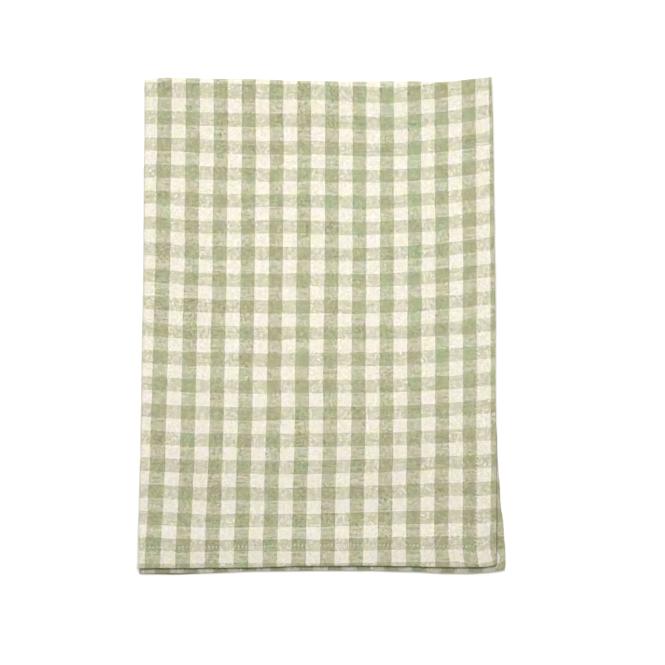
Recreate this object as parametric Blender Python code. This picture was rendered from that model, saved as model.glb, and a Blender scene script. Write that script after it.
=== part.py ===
"""A tea towel of woven cotton gingham, folded in quarters and lying flat.

The towel is one sheet of cloth with a double-turned hem on all four sides. It is folded
lengthwise first, which makes a pair of leaves joined along the left edge. Then the pair is
folded crosswise, and rolls over on itself at the top edge. So four layers lie on each other.
Layer 1, on top, and layer 4, on the floor, are the outer leaf. Layers 2 and 3, between them,
are the inner leaf.

The sheet starts as a flat slab, one grid cell thick. Each of its points is known by a station
across the towel, a station along it and its side of the cloth, and one function takes these to
the point's place in the folded towel.

Metres, +Z up. +X runs from the lengthwise fold to the side hems, +Y runs from the end hems to
the crosswise fold, and the origin is on the floor under the middle of the towel.
"""

from math import cos, exp, hypot, pi, sin
from typing import NamedTuple

import bmesh
import bpy

MM = 0.001

# The folded towel, without the unevenness of its edges.
LEFT = -128.5 * MM
RIGHT = 125.0 * MM
TOP = 176.0 * MM
BOTTOM = -172.0 * MM
WIDTH = RIGHT - LEFT
LENGTH = TOP - BOTTOM

# The cloth, its hems and the air between the layers.
CLOTH_THICKNESS = 1.0 * MM
HEM_THICKNESS = 1.5 * MM
HEM_WIDTH = 15.0 * MM
HEM_LEDGE = 1.0 * MM
HEM_EDGE_DRAW = 0.6
HEM_EDGE_WIDTH = 0.7 * MM
LEAF_GAP = 0.4 * MM
MIDDLE_GAP = 0.6 * MM

# How far in from the hems the stack starts to thicken, and where it is at its full height.
HEM_RISE_START = 38.0 * MM
HEM_RISE_END = 19.0 * MM

# The folds spring open a little, and lie closed again this far in.
LEFT_FOLD_LOFT = 0.5 * MM
LEFT_FOLD_REACH = 10.0 * MM
TOP_FOLD_LOFT = 1.4 * MM
TOP_FOLD_REACH = 16.0 * MM

# The lower pair's lengthwise fold lies this far inside the upper one's at the bottom.
LOWER_FOLD_SET_IN = 0.9 * MM

# Grid steps: round each fold, and along the plain cloth between a fold and a hem.
LEFT_FOLD_STEPS = 6
TOP_FOLD_STEPS = 8
PLAIN_STEP = 31.0 * MM
STEPS_FROM_FOLD = (3.5 * MM, 9.0 * MM, 17.0 * MM, 30.0 * MM)
STEPS_FROM_HEM = (36.0 * MM, 28.0 * MM, 21.0 * MM, HEM_WIDTH + HEM_LEDGE, HEM_WIDTH, 7.0 * MM,
                  HEM_EDGE_WIDTH, 0.0)

COTTON_COLOUR = (0.63, 0.61, 0.45, 1.0)
COTTON_ROUGHNESS = 0.85


class Edges(NamedTuple):
    """Where a fold and the four layers' hems lie at one place along an edge, in millimetres."""

    at: float
    fold: float
    hem_1: float
    hem_2: float
    hem_3: float
    hem_4: float


# Down the towel (at is y): the left fold and the side hems, as x.
SIDES = (
    Edges(at=176, fold=-126.3, hem_1=121.4, hem_2=121.4, hem_3=121.4, hem_4=121.4),
    Edges(at=146, fold=-126.3, hem_1=122.9, hem_2=122.5, hem_3=122.2, hem_4=122.0),
    Edges(at=104, fold=-126.9, hem_1=123.6, hem_2=123.0, hem_3=122.9, hem_4=122.6),
    Edges(at=61, fold=-127.2, hem_1=124.5, hem_2=123.8, hem_3=123.9, hem_4=123.6),
    Edges(at=5, fold=-128.2, hem_1=125.2, hem_2=124.4, hem_3=124.6, hem_4=124.3),
    Edges(at=-53, fold=-129.0, hem_1=125.2, hem_2=124.3, hem_3=124.8, hem_4=124.3),
    Edges(at=-88, fold=-129.8, hem_1=125.1, hem_2=124.1, hem_3=126.2, hem_4=125.4),
    Edges(at=-117, fold=-130.1, hem_1=125.0, hem_2=123.9, hem_3=127.7, hem_4=127.1),
    Edges(at=-145, fold=-130.6, hem_1=124.9, hem_2=123.7, hem_3=129.1, hem_4=128.5),
    Edges(at=-157, fold=-130.8, hem_1=124.9, hem_2=123.7, hem_3=130.6, hem_4=130.0),
    Edges(at=-167, fold=-131.0, hem_1=124.8, hem_2=123.6, hem_3=131.2, hem_4=130.6),
    Edges(at=-173, fold=-131.2, hem_1=124.6, hem_2=123.5, hem_3=130.4, hem_4=129.9),
)

# Across the towel (at is x): the top fold and the end hems, as y.
ENDS = (
    Edges(at=-129, fold=175.7, hem_1=-172.5, hem_2=-172.5, hem_3=-176.4, hem_4=-176.4),
    Edges(at=-115, fold=177.1, hem_1=-172.5, hem_2=-171.8, hem_3=-176.4, hem_4=-177.4),
    Edges(at=-98, fold=176.8, hem_1=-172.4, hem_2=-171.6, hem_3=-176.4, hem_4=-177.3),
    Edges(at=-80, fold=176.4, hem_1=-172.3, hem_2=-171.5, hem_3=-176.3, hem_4=-176.0),
    Edges(at=-50, fold=176.3, hem_1=-172.0, hem_2=-171.2, hem_3=-175.4, hem_4=-174.8),
    Edges(at=-15, fold=175.0, hem_1=-171.5, hem_2=-170.7, hem_3=-175.6, hem_4=-174.6),
    Edges(at=25, fold=174.5, hem_1=-171.4, hem_2=-170.6, hem_3=-175.0, hem_4=-174.4),
    Edges(at=60, fold=175.0, hem_1=-171.8, hem_2=-171.0, hem_3=-176.4, hem_4=-175.6),
    Edges(at=96, fold=175.2, hem_1=-172.0, hem_2=-171.2, hem_3=-176.6, hem_4=-175.9),
    Edges(at=112, fold=177.0, hem_1=-171.9, hem_2=-171.1, hem_3=-177.2, hem_4=-176.6),
    Edges(at=120, fold=177.4, hem_1=-171.2, hem_2=-170.6, hem_3=-176.2, hem_4=-175.8),
    Edges(at=125, fold=177.4, hem_1=-169.8, hem_2=-169.4, hem_3=-174.4, hem_4=-174.0),
)


class Swell(NamedTuple):
    """A low swell where the upper pair lies less close to the lower one, in millimetres."""

    x: float
    y: float
    reach: float
    lift: float


SWELLS = (
    Swell(x=-64, y=52, reach=58, lift=0.7),
    Swell(x=36, y=-48, reach=66, lift=0.8),
    Swell(x=78, y=84, reach=46, lift=0.9),
    Swell(x=-92, y=-104, reach=44, lift=0.6),
    Swell(x=108, y=-128, reach=30, lift=0.5),
)


class Station(NamedTuple):
    """One line of the grid: how far along its leaf it lies and how far round its fold."""

    run: float      # 0 at the fold, 1 at the hem
    turn: float     # 0 before the fold, pi after it


def ease(share):
    """A smooth step from 0 to 1."""
    share = min(max(share, 0.0), 1.0)
    return share * share * (3.0 - 2.0 * share)


def fade(distance, reach):
    """1 at no distance, falling smoothly to 0 past the reach."""
    return exp(-((max(distance, 0.0) / reach) ** 2))


def read(table, column, place):
    """A column of an edge table at a place in metres, eased from row to row, in metres."""
    rows = sorted(table, key=lambda row: row.at)
    at = min(max(place / MM, rows[0].at), rows[-1].at)
    for low, high in zip(rows, rows[1:]):
        if at <= high.at:
            share = ease((at - low.at) / (high.at - low.at))
            start, end = getattr(low, column), getattr(high, column)
            return (start + (end - start) * share) * MM
    return getattr(rows[-1], column) * MM


def pair_height(x, y):
    """Height of a pair of leaves with the air between them."""
    plain = 2.0 * CLOTH_THICKNESS + LEAF_GAP
    span = HEM_RISE_START - HEM_RISE_END
    side = ease((x - (RIGHT - HEM_RISE_START)) / span)
    end = ease(((BOTTOM + HEM_RISE_START) - y) / span)
    near_hem = 1.0 - (1.0 - side) * (1.0 - end)
    rise = 2.0 * (HEM_THICKNESS - CLOTH_THICKNESS) * near_hem
    return plain + rise + LEFT_FOLD_LOFT * fade(x - LEFT, LEFT_FOLD_REACH)


def middle_gap(x, y):
    """Air between the two pairs of leaves, which is widest in the crosswise fold."""
    swells = sum(
        swell.lift * MM * fade(hypot(x - swell.x * MM, y - swell.y * MM), swell.reach * MM)
        for swell in SWELLS
    )
    return MIDDLE_GAP + swells + TOP_FOLD_LOFT * fade(TOP - y, TOP_FOLD_REACH)


def cloth_thickness(from_side, from_end):
    """Thickness of the sheet at these distances from its side hem and its end hem."""
    nearest = min(from_side, from_end)
    hem = 1.0 - ease((nearest - HEM_WIDTH) / HEM_LEDGE)
    edge = ease(nearest / HEM_EDGE_WIDTH)
    full = CLOTH_THICKNESS + (HEM_THICKNESS - CLOTH_THICKNESS) * hem
    return full, HEM_EDGE_DRAW + (1.0 - HEM_EDGE_DRAW) * edge


def leaf_stations(length):
    """Distances from the fold to the hem, close together near both."""
    first = STEPS_FROM_FOLD[-1]
    last = length - STEPS_FROM_HEM[0]
    plain = round((last - first) / PLAIN_STEP)
    middle = [first + (last - first) * step / plain for step in range(1, plain)]
    return [0.0, *STEPS_FROM_FOLD, *middle, *(length - step for step in STEPS_FROM_HEM)]


def fold_stations(length, fold_steps):
    """Stations from one hem, round the fold, to the other hem."""
    runs = [distance / length for distance in leaf_stations(length)]
    before = [Station(run, 0.0) for run in reversed(runs)]
    round_fold = [Station(0.0, pi * step / fold_steps) for step in range(1, fold_steps)]
    after = [Station(run, pi) for run in runs]
    return before + round_fold + after


def folded_place(across, down, side):
    """Where a point of the sheet lies in the folded towel.

    across.turn goes round the lengthwise fold, from the inner leaf to the outer one, and
    down.turn round the crosswise fold, from the lower pair to the upper one. side is 1 on the
    side of the cloth that shows, and -1 on the side that the leaves turn to each other.
    """
    outer = across.turn > pi / 2.0
    upper = down.turn > pi / 2.0
    layer = {(True, True): 1, (False, True): 2, (False, False): 3, (True, False): 4}[outer, upper]
    plain_x = LEFT + WIDTH * across.run
    plain_y = TOP - LENGTH * down.run

    thickness, draw = cloth_thickness(WIDTH * (1.0 - across.run), LENGTH * (1.0 - down.run))
    half = side * draw * thickness / 2.0

    left = read(SIDES, "fold", plain_y) + (0.0 if upper else LOWER_FOLD_SET_IN * down.run)
    right = read(SIDES, f"hem_{layer}", plain_y)
    fold_x = left + pair_height(LEFT, plain_y) / 2.0
    x = fold_x + (right - fold_x) * across.run

    top = read(ENDS, "fold", plain_x)
    bottom = read(ENDS, f"hem_{layer}", plain_x)
    fold_y = top - pair_height(plain_x, TOP) - middle_gap(plain_x, TOP) / 2.0
    y = fold_y + (bottom - fold_y) * down.run

    pair = pair_height(x, y)
    gap = middle_gap(x, y)
    radius = (pair - thickness) / 2.0 + half
    height_in_pair = pair / 2.0 - radius * cos(across.turn)
    roll = gap / 2.0 + height_in_pair
    return (
        x - radius * sin(across.turn),
        y + roll * sin(down.turn),
        gap / 2.0 + pair - roll * cos(down.turn),
    )


def build_towel(collection):
    """The whole towel: one slab of cloth, folded twice."""
    across = fold_stations(WIDTH, LEFT_FOLD_STEPS)
    down = fold_stations(LENGTH, TOP_FOLD_STEPS)[::-1]
    columns, rows = len(across) - 1, len(down) - 1

    sheet = bmesh.new()
    bmesh.ops.create_grid(sheet, x_segments=columns, y_segments=rows, size=0.5)
    turned_up = bmesh.ops.extrude_face_region(sheet, geom=sheet.faces[:])
    show_side = [item for item in turned_up["geom"] if isinstance(item, bmesh.types.BMVert)]
    bmesh.ops.translate(sheet, vec=(0.0, 0.0, 1.0), verts=show_side)
    bmesh.ops.recalc_face_normals(sheet, faces=sheet.faces[:])

    for point in sheet.verts:
        column = round((point.co.x + 0.5) * columns)
        row = round((point.co.y + 0.5) * rows)
        side = 1.0 if point.co.z > 0.5 else -1.0
        point.co = folded_place(across[column], down[row], side)

    xs = [point.co.x for point in sheet.verts]
    ys = [point.co.y for point in sheet.verts]
    middle = (-(min(xs) + max(xs)) / 2.0, -(min(ys) + max(ys)) / 2.0, 0.0)
    bmesh.ops.translate(sheet, vec=middle, verts=sheet.verts[:])

    mesh = bpy.data.meshes.new("towel_cloth")
    sheet.to_mesh(mesh)
    sheet.free()
    mesh.shade_smooth()
    mesh.materials.append(cotton_material())
    collection.objects.link(bpy.data.objects.new("towel_cloth", mesh))


def cotton_material():
    """Plain matt cotton in the check's average colour."""
    material = bpy.data.materials.new("cotton_gingham")
    material.use_nodes = True
    shader = material.node_tree.nodes["Principled BSDF"]
    shader.inputs["Base Color"].default_value = COTTON_COLOUR
    shader.inputs["Roughness"].default_value = COTTON_ROUGHNESS
    shader.inputs["Metallic"].default_value = 0.0
    return material


def main():
    """Clear the scene and model the towel in its own collection."""
    for item in list(bpy.data.objects):
        bpy.data.objects.remove(item)
    towel = bpy.data.collections.new("tea_towel")
    bpy.context.scene.collection.children.link(towel)
    build_towel(towel)


main()
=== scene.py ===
"""The looks of a tea towel of cotton gingham, folded in quarters and lying flat.

The towel is one sheet of cloth with a stitched hem on all four sides. It is folded lengthwise,
which makes a pair of leaves joined along the left edge, and the pair is then folded crosswise,
and rolls over on itself at the top edge. Layer 1, on top, and layer 4, on the floor, are the
outer leaf, and layers 2 and 3 between them are the inner leaf.

Metres, +Z up. +X runs from the lengthwise fold to the side hems, +Y runs from the end hems to
the crosswise fold, and the origin is on the floor under the middle of the towel.
"""

import logging
import random
from dataclasses import dataclass
from enum import Enum
from math import cos, exp, hypot, pi, radians, sin
from typing import NamedTuple, TypeVar

import bmesh
import bpy
from mathutils import Matrix, Vector, noise


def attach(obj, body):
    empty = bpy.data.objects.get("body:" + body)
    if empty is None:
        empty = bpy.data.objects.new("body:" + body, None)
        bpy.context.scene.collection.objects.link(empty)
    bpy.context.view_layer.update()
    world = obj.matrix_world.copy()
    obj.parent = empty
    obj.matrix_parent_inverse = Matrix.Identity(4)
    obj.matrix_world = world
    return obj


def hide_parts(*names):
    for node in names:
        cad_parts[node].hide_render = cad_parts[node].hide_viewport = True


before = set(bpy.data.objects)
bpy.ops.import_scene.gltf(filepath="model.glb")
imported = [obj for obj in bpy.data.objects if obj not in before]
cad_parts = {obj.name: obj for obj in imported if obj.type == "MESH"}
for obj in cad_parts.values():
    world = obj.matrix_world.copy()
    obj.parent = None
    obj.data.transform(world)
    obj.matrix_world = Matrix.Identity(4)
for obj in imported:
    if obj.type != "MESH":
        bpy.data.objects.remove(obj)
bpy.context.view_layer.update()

LOG = logging.getLogger("tea_towel")
CLOTH_NODE = "towel_cloth"
BODY = "root"
CHECK_MAP = "check_map"

MM = 0.001
QUARTER_TURN = pi / 2.0

Colour = tuple[float, float, float, float]
Socket = bpy.types.NodeSocket
Value = Socket | float | tuple[float, ...]
TableRow = TypeVar("TableRow", bound=tuple)


class ClothSide(Enum):
    """The two sides of the cloth, as the way out from its middle."""

    SHOW = 1.0
    WRONG = -1.0


class HemLine(Enum):
    """The two hems that run along the towel and the two that run across it."""

    ALONG = "along"
    ACROSS = "across"


class Edges(NamedTuple):
    """Where a fold and the four layers' hems lie at one place along an edge, in millimetres."""

    at: float
    fold: float
    hem_1: float
    hem_2: float
    hem_3: float
    hem_4: float


# Down the towel: a height y, and the lengthwise fold and the four side hems there, as x.
SIDES = (
    Edges(-173, -130.8, 124.6, 124.5, 130.4, 129.9),
    Edges(-167, -130.6, 124.8, 124.8, 131.2, 130.6),
    Edges(-157, -130.4, 124.9, 125.1, 131.1, 130.5),
    Edges(-145, -130.2, 124.9, 125.2, 130.1, 129.5),
    Edges(-117, -129.6, 124.9, 125.2, 127.4, 126.8),
    Edges(-88, -128.7, 124.7, 124.6, 125.6, 124.8),
    Edges(-41, -128.0, 124.1, 123.2, 123.5, 123.0),
    Edges(0, -127.5, 124.2, 123.4, 123.5, 123.2),
    Edges(22, -126.9, 124.1, 123.4, 123.4, 123.1),
    Edges(61, -126.5, 123.5, 122.8, 122.9, 122.6),
    Edges(104, -126.3, 122.9, 122.3, 122.2, 121.9),
    Edges(146, -125.9, 122.3, 121.9, 121.6, 121.4),
    Edges(176, -125.9, 121.3, 121.3, 121.3, 121.3),
)

# Across the towel: a place x, and the crosswise fold and the four end hems there, as y.
ENDS = (
    Edges(-129, 175.7, -172.8, -172.6, -176.6, -176.9),
    Edges(-115, 177.0, -172.8, -172.0, -176.6, -177.5),
    Edges(-98, 176.6, -172.8, -171.9, -176.5, -177.4),
    Edges(-80, 176.2, -172.6, -171.7, -176.2, -176.2),
    Edges(-50, 176.0, -172.3, -171.4, -175.0, -174.4),
    Edges(-15, 174.7, -171.3, -170.4, -174.6, -173.8),
    Edges(25, 174.2, -171.0, -170.1, -174.4, -173.8),
    Edges(60, 174.4, -171.2, -170.3, -175.3, -174.7),
    Edges(85, 174.1, -172.0, -170.6, -176.5, -175.8),
    Edges(100, 175.3, -172.2, -170.8, -176.6, -175.9),
    Edges(112, 176.6, -172.0, -171.3, -176.0, -175.4),
    Edges(120, 177.1, -171.4, -171.2, -174.9, -174.4),
    Edges(125, 177.1, -170.4, -170.4, -174.0, -173.5),
)


class Swell(NamedTuple):
    """A low swell where the upper pair lies less close to the lower one, in millimetres."""

    x: float
    y: float
    reach: float
    lift: float


def ease(share: float) -> float:
    """A smooth step.

    Args:
        share: How far along the step, held between 0 and 1.

    Returns:
        0 before the step and 1 after it.
    """
    share = min(max(share, 0.0), 1.0)
    return share * share * (3.0 - 2.0 * share)


def fade(distance: float, reach: float) -> float:
    """A bell-shaped falling off.

    Args:
        distance: How far away, where less than nothing counts as nothing.
        reach: The distance at which about a third is left.

    Returns:
        1 at no distance, falling smoothly to 0.
    """
    return exp(-((max(distance, 0.0) / reach) ** 2))


def blend(start: float, end: float, share: float) -> float:
    """The value a share of the way from start to end."""
    return start + (end - start) * share


def neighbours(table: tuple[TableRow, ...],
               place: float) -> tuple[TableRow, TableRow, float]:
    """Find the two rows of a table that a place lies between.

    Args:
        table: Two or more rows, in the order of their first values.
        place: The first value to look for.

    Returns:
        The row before the place, the row after it, and its share of the way between them, which
        is under 0 or over 1 past the ends of the table.
    """
    after = 1
    while after < len(table) - 1 and place > table[after][0]:
        after += 1
    low, high = table[after - 1], table[after]
    return low, high, (place - low[0]) / (high[0] - low[0])


def edge_place(table: tuple[Edges, ...], column: str, place: float) -> float:
    """Read one column of an edge table.

    Args:
        table: SIDES or ENDS.
        column: The name of the column.
        place: Where along the edge, in metres.

    Returns:
        Where the fold or hem lies there, in metres, eased from row to row.
    """
    low, high, share = neighbours(table, place / MM)
    return blend(getattr(low, column), getattr(high, column), ease(share)) * MM


def close_mesh(form: bmesh.types.BMesh, name: str) -> bpy.types.Mesh:
    """Turn a finished form into a mesh, and free the form.

    Args:
        form: The form.
        name: The mesh's name.

    Returns:
        The mesh.
    """
    mesh = bpy.data.meshes.new(name)
    form.to_mesh(mesh)
    form.free()
    return mesh


def add_object(name: str, data: bpy.types.ID) -> bpy.types.Object:
    """Put a mesh, a light or a camera into the scene.

    Args:
        name: The object's name.
        data: What it shows.

    Returns:
        The object.
    """
    added = bpy.data.objects.new(name, data)
    bpy.context.scene.collection.objects.link(added)
    return added


class Station(NamedTuple):
    """One line of the cloth: how far along its leaf it lies and how far round its fold."""

    run: float      # 0 at the fold, 1 at the hem
    turn: float     # 0 before the fold, pi after it


class AlongLine(NamedTuple):
    """A thread that runs along the towel, with the fold and the hems that it meets."""

    station: Station
    outer: bool
    plain_x: float
    top: float
    upper_hem: float
    lower_hem: float


class AcrossLine(NamedTuple):
    """A thread that runs across the towel, with the fold and the hems that it meets."""

    station: Station
    upper: bool
    plain_y: float
    left: float
    outer_hem: float
    inner_hem: float


class RowPlace(NamedTuple):
    """How high above the bottom of the top layer a row of checks ends, in millimetres."""

    height: float
    row: float


class RowPull(NamedTuple):
    """How far the rows are drawn up at one height of the top layer, in millimetres."""

    down: float     # 0 at the crosswise fold, 1 at the hem
    left: float     # beside the lengthwise fold
    lean: float     # evenly more towards the side hem
    hem: float      # more and more towards the side hem


@dataclass(frozen=True)
class CheckLayout:
    """Where the checks fall on the folded cloth, counted in columns and rows.

    Even columns and rows are green. Column 0 starts just inside the left edge of the top layer
    and row 1 just above its bottom hem. The cloth isn't quite square to its folds, so columns
    and rows drift a little. Lengths are in millimetres.
    """

    # Where column 0 starts and how wide a column is: at the top of the towel, and what is added
    # with the way down and with its square. Columns narrow towards the side hem, and are wider
    # close to the lengthwise fold, at the bottom a little more than at the top.
    column_start: tuple[float, float, float] = (9.66, -0.83, -2.66)
    column_width: tuple[float, float, float] = (10.02, 0.192, 0.236)
    column_narrowing: float = 0.487
    column_narrowing_reach: float = 250.0
    fold_widening: tuple[float, float] = (0.102, 0.02)
    fold_widening_reach: float = 10.718

    # The lower pair, which shows below the top layer. Its columns come into their own places on
    # the way down, and stray near its corner by a skew for each height along the cloth.
    lower_fold_column: float = -1.914
    lower_column_width: float = 10.52
    lower_column_narrowing: float = 0.84
    lower_settled: float = 0.6
    lower_corner_skews: tuple[tuple[float, float], ...] = (
        (2.0, 0.5), (4.5, -1.9), (12.0, -1.9), (15.5, 1.6),
    )
    lower_corner_start: float = 235.0
    lower_corner_reach: float = 20.0

    # The last columns of the top layer lean in its end hem.
    hem_corner_skew: float = 1.7
    hem_corner_start: float = 150.0
    hem_corner_reach: float = 95.0
    hem_corner_height: float = 14.6

    # The rows of the top layer, how they are drawn up beside the lengthwise fold and towards
    # the side hem, and how they bend near the corner of the hems.
    row_origin: float = -171.77
    rows: tuple[RowPlace, ...] = (
        RowPlace(2.57, row=1),
        RowPlace(10.73, row=2),
        RowPlace(28.01, row=4),
        RowPlace(56.65, row=7),
        RowPlace(114.12, row=13),
        RowPlace(171.44, row=19),
        RowPlace(227.94, row=25),
        RowPlace(284.09, row=31),
        RowPlace(322.64, row=35),
        RowPlace(332.64, row=36),
        RowPlace(343.7, row=37),
    )
    pulls: tuple[RowPull, ...] = (
        RowPull(down=0.0, left=1.6, lean=-13.66, hem=21.36),
        RowPull(down=0.05, left=2.5, lean=-12.50, hem=20.23),
        RowPull(down=0.33, left=3.39, lean=-6.03, hem=13.89),
        RowPull(down=0.67, left=2.25, lean=-0.58, hem=6.43),
        RowPull(down=0.92, left=2.18, lean=5.06, hem=-1.32),
        RowPull(down=1.0, left=-0.6, lean=1.88, hem=-1.2),
    )
    left_pull_reach: tuple[float, float] = (58.0, 27.2)
    left_pull_settled: float = 0.33
    side_pull_reach: float = 125.0
    corner_pull: tuple[float, float] = (8.25, -6.31)
    corner_pull_reach: tuple[float, float] = (24.0, 45.0)

    # The rows round the crosswise fold, and the row at the end of the lower pair.
    fold_row_pitch: float = 9.5
    last_row: float = 74.65

    def column(self, along_leaf: float, outer: bool, upper: bool, down: float,
               above_hem: float) -> float:
        """The column at a place.

        Args:
            along_leaf: Distance along the cloth from the lengthwise fold, in metres.
            outer: Whether the place is on the outer leaf.
            upper: Whether it is on the upper pair.
            down: Share of the way from the crosswise fold to the end hem.
            above_hem: Distance along the cloth from the end hem, in metres.

        Returns:
            The place counted in columns.
        """
        reach = along_leaf / MM
        start, width, widening, narrowing = self._fold_column(upper, down)
        if not outer:
            drift = 0.0 if upper else self._lower_drift(reach, width, down, above_hem)
            return start - reach / width - drift
        near_fold = widening * (exp(-reach / self.fold_widening_reach) - 1.0)
        far_share = (reach / self.column_narrowing_reach) ** 2
        column = start + reach / width + near_fold + narrowing * far_share
        if upper:
            low = 1.0 - ease(above_hem / MM / self.hem_corner_height)
            side = max(reach - self.hem_corner_start, 0.0) / self.hem_corner_reach
            column -= self.hem_corner_skew * low * side * side / width
        return column

    def _fold_column(self, upper: bool, down: float) -> tuple[float, float, float, float]:
        """How the columns begin at the lengthwise fold.

        Args:
            upper: Whether they are on the upper pair.
            down: Share of the way from the crosswise fold to the end hem.

        Returns:
            The column at the fold, a column's width, the widening and the narrowing.
        """
        first, slope, bow = self.column_start
        plain, wider, widest = self.column_width
        if upper:
            start = first + slope * down + bow * down * down
            width = plain + wider * down + widest * down * down
            widening = self.fold_widening[0] + self.fold_widening[1] * down ** 4
            return widening - start / width, width, widening, self.column_narrowing
        at_fold = self.fold_widening[0] - first / plain
        settled = ease(down / self.lower_settled)
        return (
            blend(at_fold, self.lower_fold_column, settled),
            blend(plain, self.lower_column_width, settled),
            self.fold_widening[0] * (1.0 - down),
            self.column_narrowing * (1.0 - down),
        )

    def _lower_drift(self, reach: float, width: float, down: float, above_hem: float) -> float:
        """How far the lower pair's inner leaf is out of step, most at its corner.

        Args:
            reach: Distance from the lengthwise fold, in millimetres.
            width: A column's width, in millimetres.
            down: Share of the way from the crosswise fold to the end hem.
            above_hem: Distance along the cloth from the end hem, in metres.

        Returns:
            The drift in columns.
        """
        far_share = (reach / self.column_narrowing_reach) ** 2
        side = max(reach - self.lower_corner_start, 0.0) / self.lower_corner_reach
        low, high, share = neighbours(self.lower_corner_skews, above_hem / MM)
        skew = blend(low[1], high[1], ease(share))
        narrowing = self.lower_column_narrowing * down * far_share
        return narrowing + skew * side * side / width

    def row(self, y: float, from_fold: float, from_side: float, down: float) -> float:
        """The row at a place of the top layer.

        Args:
            y: How far up the towel, in metres.
            from_fold: Distance from the lengthwise fold, in metres.
            from_side: Distance from the side hem, in metres.
            down: Share of the way from the crosswise fold to the end hem.

        Returns:
            The place counted in rows.
        """
        low, high, share = neighbours(self.pulls, down)
        left, lean, hem = (blend(*pull, share) for pull in zip(low[1:], high[1:]))
        side = max(1.0 - from_side / MM / self.side_pull_reach, 0.0)
        reach = blend(*self.left_pull_reach, ease(down / self.left_pull_settled))
        drawn_up = left * fade(from_fold / MM, reach) + lean * side + hem * side * side
        height = y / MM - self.row_origin
        height -= drawn_up + self._corner_pull(from_side / MM, height)
        below, above, share = neighbours(self.rows, height)
        return blend(below.row, above.row, share)

    def _corner_pull(self, from_side: float, from_end: float) -> float:
        """How the rows bend near the corner of the hems.

        Args:
            from_side: Distance from the side hem's edge, in millimetres.
            from_end: Distance from the end hem's edge, in millimetres.

        Returns:
            How far they are drawn up, less than nothing at the seam and more at the edge.
        """
        side_reach, end_reach = self.corner_pull_reach
        near = max(1.0 - from_side / side_reach, 0.0)
        bend, lean = self.corner_pull
        return fade(from_end, end_reach) * near * (bend * near + lean)


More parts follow.
